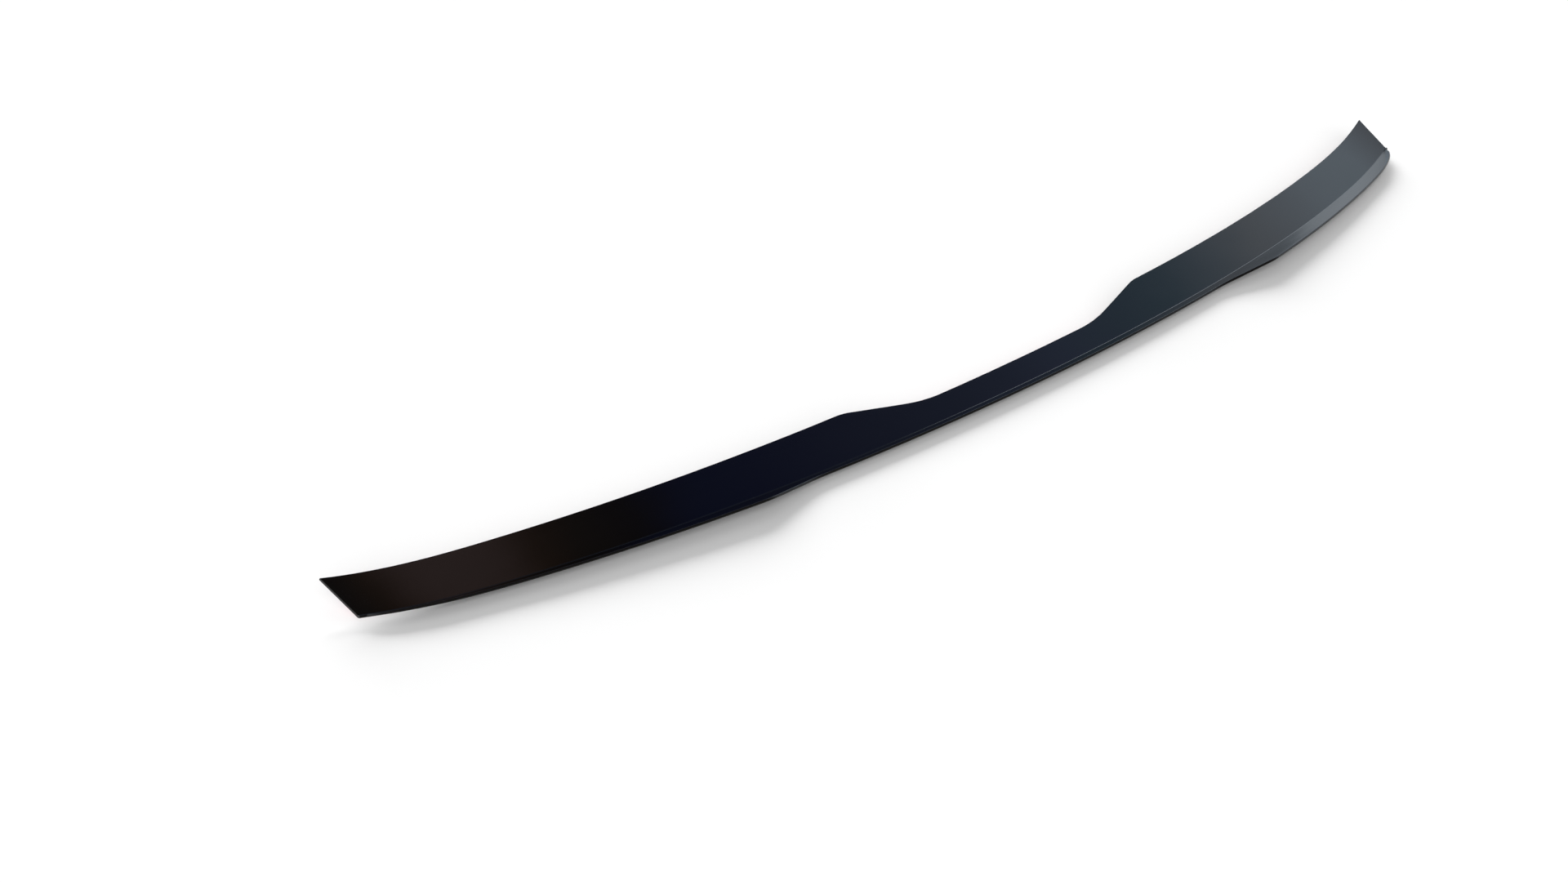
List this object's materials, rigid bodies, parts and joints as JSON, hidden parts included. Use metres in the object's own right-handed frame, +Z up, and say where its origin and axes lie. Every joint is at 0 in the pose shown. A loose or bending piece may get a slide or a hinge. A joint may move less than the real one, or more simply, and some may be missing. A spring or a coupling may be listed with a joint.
{
  "type": "boot lid lip spoiler",
  "caption": "Long swept lip spoiler for the rear edge of a car's boot lid: a bent gloss black sheet with a notched mounting flange and raised lip, on foam tape with a pink release liner.",
  "frame": {"origin": "on the floor, under the middle of the part's box, with the part lying on the underside of its bend as on a flat floor", "axes": "+X to the right seen from behind the car, +Y towards the front of the car, +Z up"},
  "size_m": [1.2076, 0.1244, 0.0246],
  "materials": {
    "gloss_black_plastic": "high gloss, deep black, smooth with a very slight sheet waviness",
    "acrylic_foam": "matt dark grey closed-cell foam",
    "pink_liner_film": "satin pink polyethylene film"
  },
  "bodies": {
    "lip": {"lip_shell": "gloss_black_plastic", "foam_tape": "acrylic_foam"},
    "liner": {"release_liner": "pink_liner_film"}
  },
  "joints": [
    {"name": "liner_removal", "type": "slide", "parent": "lip", "child": "liner", "axis": [0, 0.8721, 0.4894], "range_m": [0, 0.045]}
  ]
}
